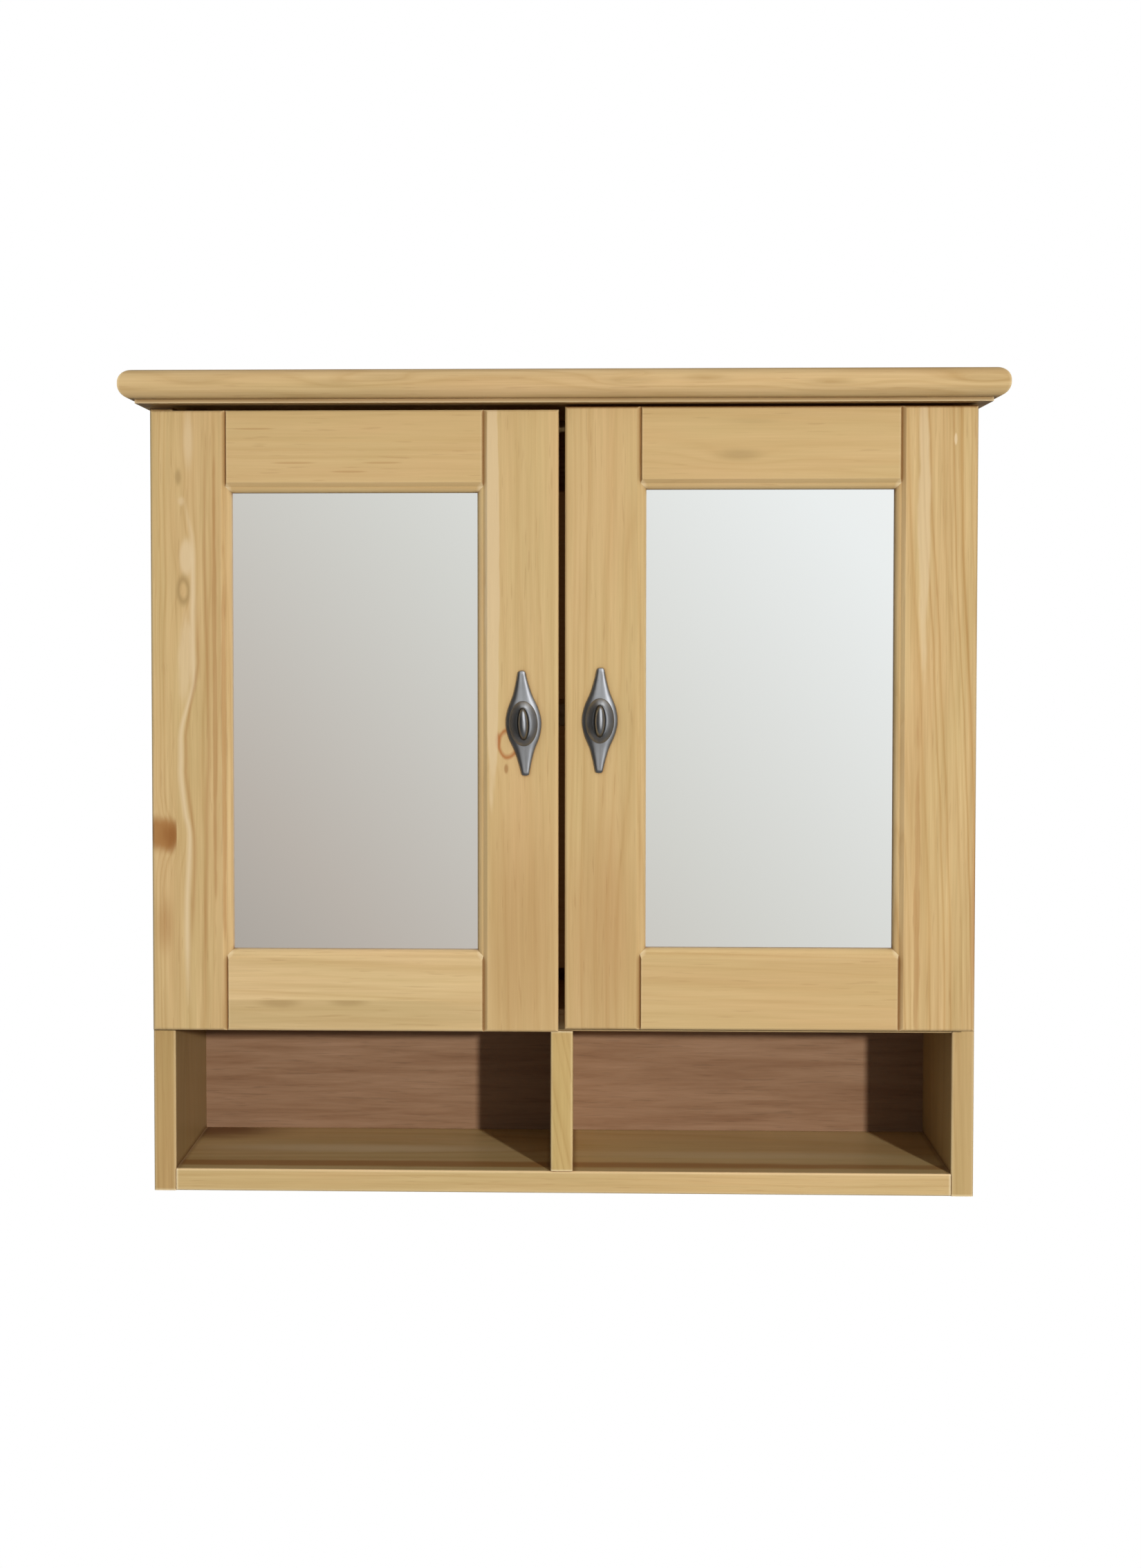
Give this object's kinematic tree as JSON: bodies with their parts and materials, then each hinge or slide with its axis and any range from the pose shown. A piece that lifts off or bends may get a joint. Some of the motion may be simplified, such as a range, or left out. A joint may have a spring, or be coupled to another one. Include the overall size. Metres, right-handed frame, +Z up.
{
  "type": "bathroom mirror cabinet",
  "caption": "Wall-hung solid wood cabinet: framed mirror doors over open compartments, rounded cornice board above.",
  "frame": {"origin": "middle of the cabinet's rear bottom edge, on the wall plane", "axes": "+Y into the wall, so the front faces -Y; +Z up; +X to the right seen from the front"},
  "size_m": [0.695, 0.193, 0.66],
  "materials": {
    "pine": "oiled solid pine, satin",
    "pine_raw": "bare softwood or beech",
    "plywood": "reddish plywood, satin",
    "hardboard": "brown hardboard",
    "mirror_glass": "silvered float glass",
    "pewter": "smooth pewter-look casting",
    "nickel": "nickel-plated steel",
    "steel": "zinc-plated steel",
    "magnet": "plated magnet"
  },
  "bodies": {
    "carcass": {"side_panel_left": "pine", "side_panel_right": "pine", "bottom_board": "pine", "divider": "pine", "fixed_shelf": "pine", "inner_shelf": "pine", "shelf_pins": "steel", "cornice_board": "pine", "back_panel": "plywood", "back_panel_pins": "steel", "hanging_rail": "pine_raw", "carcass_dowels": "pine_raw", "hinge_plates_left": "nickel", "hinge_plates_right": "nickel", "hinge_plate_screws": "steel", "hinge_arms_left": "nickel", "hinge_arms_right": "nickel", "hinge_arm_screws": "steel", "door_magnets": "magnet"},
    "left_door": {"left_door_hinge_stile": "pine", "left_door_meeting_stile": "pine", "left_door_top_rail": "pine", "left_door_bottom_rail": "pine", "left_door_mirror": "mirror_glass", "left_door_hardboard": "hardboard", "left_door_clips": "steel", "left_door_clip_screws": "steel", "left_hinge_cups": "nickel", "left_hinge_cup_screws": "steel", "left_hinge_pins": "steel", "left_handle_plate": "pewter", "left_handle_knob": "pewter", "left_handle_screw": "steel", "left_strike_disc": "steel", "left_strike_screw": "steel"},
    "right_door": {"right_door_hinge_stile": "pine", "right_door_meeting_stile": "pine", "right_door_top_rail": "pine", "right_door_bottom_rail": "pine", "right_door_mirror": "mirror_glass", "right_door_hardboard": "hardboard", "right_door_clips": "steel", "right_door_clip_screws": "steel", "right_hinge_cups": "nickel", "right_hinge_cup_screws": "steel", "right_hinge_pins": "steel", "right_handle_plate": "pewter", "right_handle_knob": "pewter", "right_handle_screw": "steel", "right_strike_disc": "steel", "right_strike_screw": "steel"}
  },
  "joints": [
    {"name": "left_door_hinge", "type": "hinge", "parent": "carcass", "child": "left_door", "pos_m": [-0.319, -0.158, 0.382], "axis": [0, 0, -1], "range_deg": [0, 95]},
    {"name": "right_door_hinge", "type": "hinge", "parent": "carcass", "child": "right_door", "pos_m": [0.319, -0.158, 0.385], "axis": [0, 0, 1], "range_deg": [0, 95]}
  ]
}
